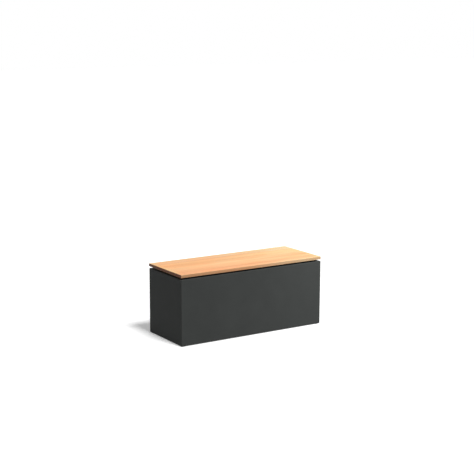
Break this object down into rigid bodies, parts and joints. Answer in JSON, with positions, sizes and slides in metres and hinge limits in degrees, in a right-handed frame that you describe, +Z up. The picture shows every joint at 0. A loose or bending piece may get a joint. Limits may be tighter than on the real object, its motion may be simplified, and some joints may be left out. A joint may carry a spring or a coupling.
{
  "type": "storage seat box",
  "caption": "Long rectangular storage bench with a folded sheet-steel body, a shadow gap and a flat wooden seat lid that opens on rear hinges with gas struts.",
  "frame": {"origin": "on the floor under the middle of the box", "axes": "+X along the length to the right seen from the front, +Y to the hinges at the back, +Z up"},
  "size_m": [1, 0.39, 0.43],
  "materials": {
    "body_paint": "anthracite matt powder coat on folded steel sheet",
    "lid_wood": "oiled light reddish-blond hardwood, glued from long staves",
    "frame_black": "black coated flat bar",
    "seal_rubber": "black rubber profile",
    "hinge_steel": "zinc-plated steel",
    "fastener_steel": "zinc-plated steel fasteners",
    "bracket_black": "black painted steel strip",
    "strut_black": "semi-gloss black painted tube",
    "socket_plastic": "black glass-filled plastic",
    "strut_rod": "hard chromed rod",
    "strut_inner": "natural plastic guide and piston",
    "foot_plastic": "black plastic glide"
  },
  "bodies": {
    "box": {"front_wrap": "body_paint", "back_panel": "body_paint", "base_panel": "body_paint", "base_panel_rivets": "body_paint", "back_panel_screws": "fastener_steel", "back_panel_nuts": "fastener_steel", "foot_nuts": "fastener_steel", "hinge_body_screws": "fastener_steel", "hinge_body_nuts": "fastener_steel", "bracket_weld_studs": "fastener_steel", "bracket_nuts": "fastener_steel", "hinge_body_leaf_left": "hinge_steel", "hinge_body_leaf_centre": "hinge_steel", "hinge_body_leaf_right": "hinge_steel", "hinge_pin_left": "hinge_steel", "hinge_pin_centre": "hinge_steel", "hinge_pin_right": "hinge_steel", "strut_body_bracket_left": "bracket_black", "strut_body_bracket_right": "bracket_black", "strut_body_stud_left": "fastener_steel", "strut_body_stud_right": "fastener_steel"},
    "lid": {"lid_board": "lid_wood", "lid_frame": "frame_black", "lid_seal": "seal_rubber", "lid_frame_screws": "fastener_steel", "hinge_lid_screws": "fastener_steel", "bracket_screws": "fastener_steel", "hinge_lid_leaf_left": "hinge_steel", "hinge_lid_leaf_centre": "hinge_steel", "hinge_lid_leaf_right": "hinge_steel", "strut_lid_bracket_left": "bracket_black", "strut_lid_bracket_right": "bracket_black", "strut_lid_stud_left": "fastener_steel", "strut_lid_stud_right": "fastener_steel"},
    "strut_barrel_left": {"strut_barrel_left": "strut_black", "strut_guide_left": "strut_inner", "strut_body_socket_left": "socket_plastic"},
    "strut_rod_left": {"strut_rod_left": "strut_rod", "strut_piston_left": "strut_inner", "strut_rod_socket_left": "socket_plastic"},
    "strut_barrel_right": {"strut_barrel_right": "strut_black", "strut_guide_right": "strut_inner", "strut_body_socket_right": "socket_plastic"},
    "strut_rod_right": {"strut_rod_right": "strut_rod", "strut_piston_right": "strut_inner", "strut_rod_socket_right": "socket_plastic"},
    "foot_front_left": {"foot_pad_front_left": "foot_plastic", "foot_stud_front_left": "fastener_steel"},
    "foot_front_right": {"foot_pad_front_right": "foot_plastic", "foot_stud_front_right": "fastener_steel"},
    "foot_rear_left": {"foot_pad_rear_left": "foot_plastic", "foot_stud_rear_left": "fastener_steel"},
    "foot_rear_right": {"foot_pad_rear_right": "foot_plastic", "foot_stud_rear_right": "fastener_steel"}
  },
  "joints": [
    {"name": "lid_hinge", "type": "hinge", "parent": "box", "child": "lid", "pos_m": [0, 0.1895, 0.4065], "axis": [-1, 0, 0], "range_deg": [0, 80], "stiffness_Nm_per_rad": 4.9, "springref_deg": 120.32},
    {"name": "strut_barrel_left_swing", "type": "hinge", "parent": "box", "child": "strut_barrel_left", "pos_m": [-0.452, 0.1015, 0.16185], "axis": [-1, 0, 0], "range_deg": [0, 40]},
    {"name": "strut_rod_left_swing", "type": "hinge", "parent": "lid", "child": "strut_rod_left", "pos_m": [-0.452, -0.07001, 0.3905], "axis": [-1, 0, 0], "range_deg": [-40, 0]},
    {"name": "strut_barrel_right_swing", "type": "hinge", "parent": "box", "child": "strut_barrel_right", "pos_m": [0.452, 0.1015, 0.16185], "axis": [-1, 0, 0], "range_deg": [0, 40]},
    {"name": "strut_rod_right_swing", "type": "hinge", "parent": "lid", "child": "strut_rod_right", "pos_m": [0.452, -0.07001, 0.3905], "axis": [-1, 0, 0], "range_deg": [-40, 0]},
    {"name": "foot_front_left_height", "type": "slide", "parent": "box", "child": "foot_front_left", "axis": [0, 0, -1], "range_m": [0, 0.01]},
    {"name": "foot_front_right_height", "type": "slide", "parent": "box", "child": "foot_front_right", "axis": [0, 0, -1], "range_m": [0, 0.01]},
    {"name": "foot_rear_left_height", "type": "slide", "parent": "box", "child": "foot_rear_left", "axis": [0, 0, -1], "range_m": [0, 0.01]},
    {"name": "foot_rear_right_height", "type": "slide", "parent": "box", "child": "foot_rear_right", "axis": [0, 0, -1], "range_m": [0, 0.01]}
  ],
  "couplings": [
    {"joint": "strut_barrel_left_swing", "follows": "lid_hinge", "ratio": 0.5},
    {"joint": "strut_rod_left_swing", "follows": "lid_hinge", "ratio": -0.5},
    {"joint": "strut_barrel_right_swing", "follows": "lid_hinge", "ratio": 0.5},
    {"joint": "strut_rod_right_swing", "follows": "lid_hinge", "ratio": -0.5}
  ]
}
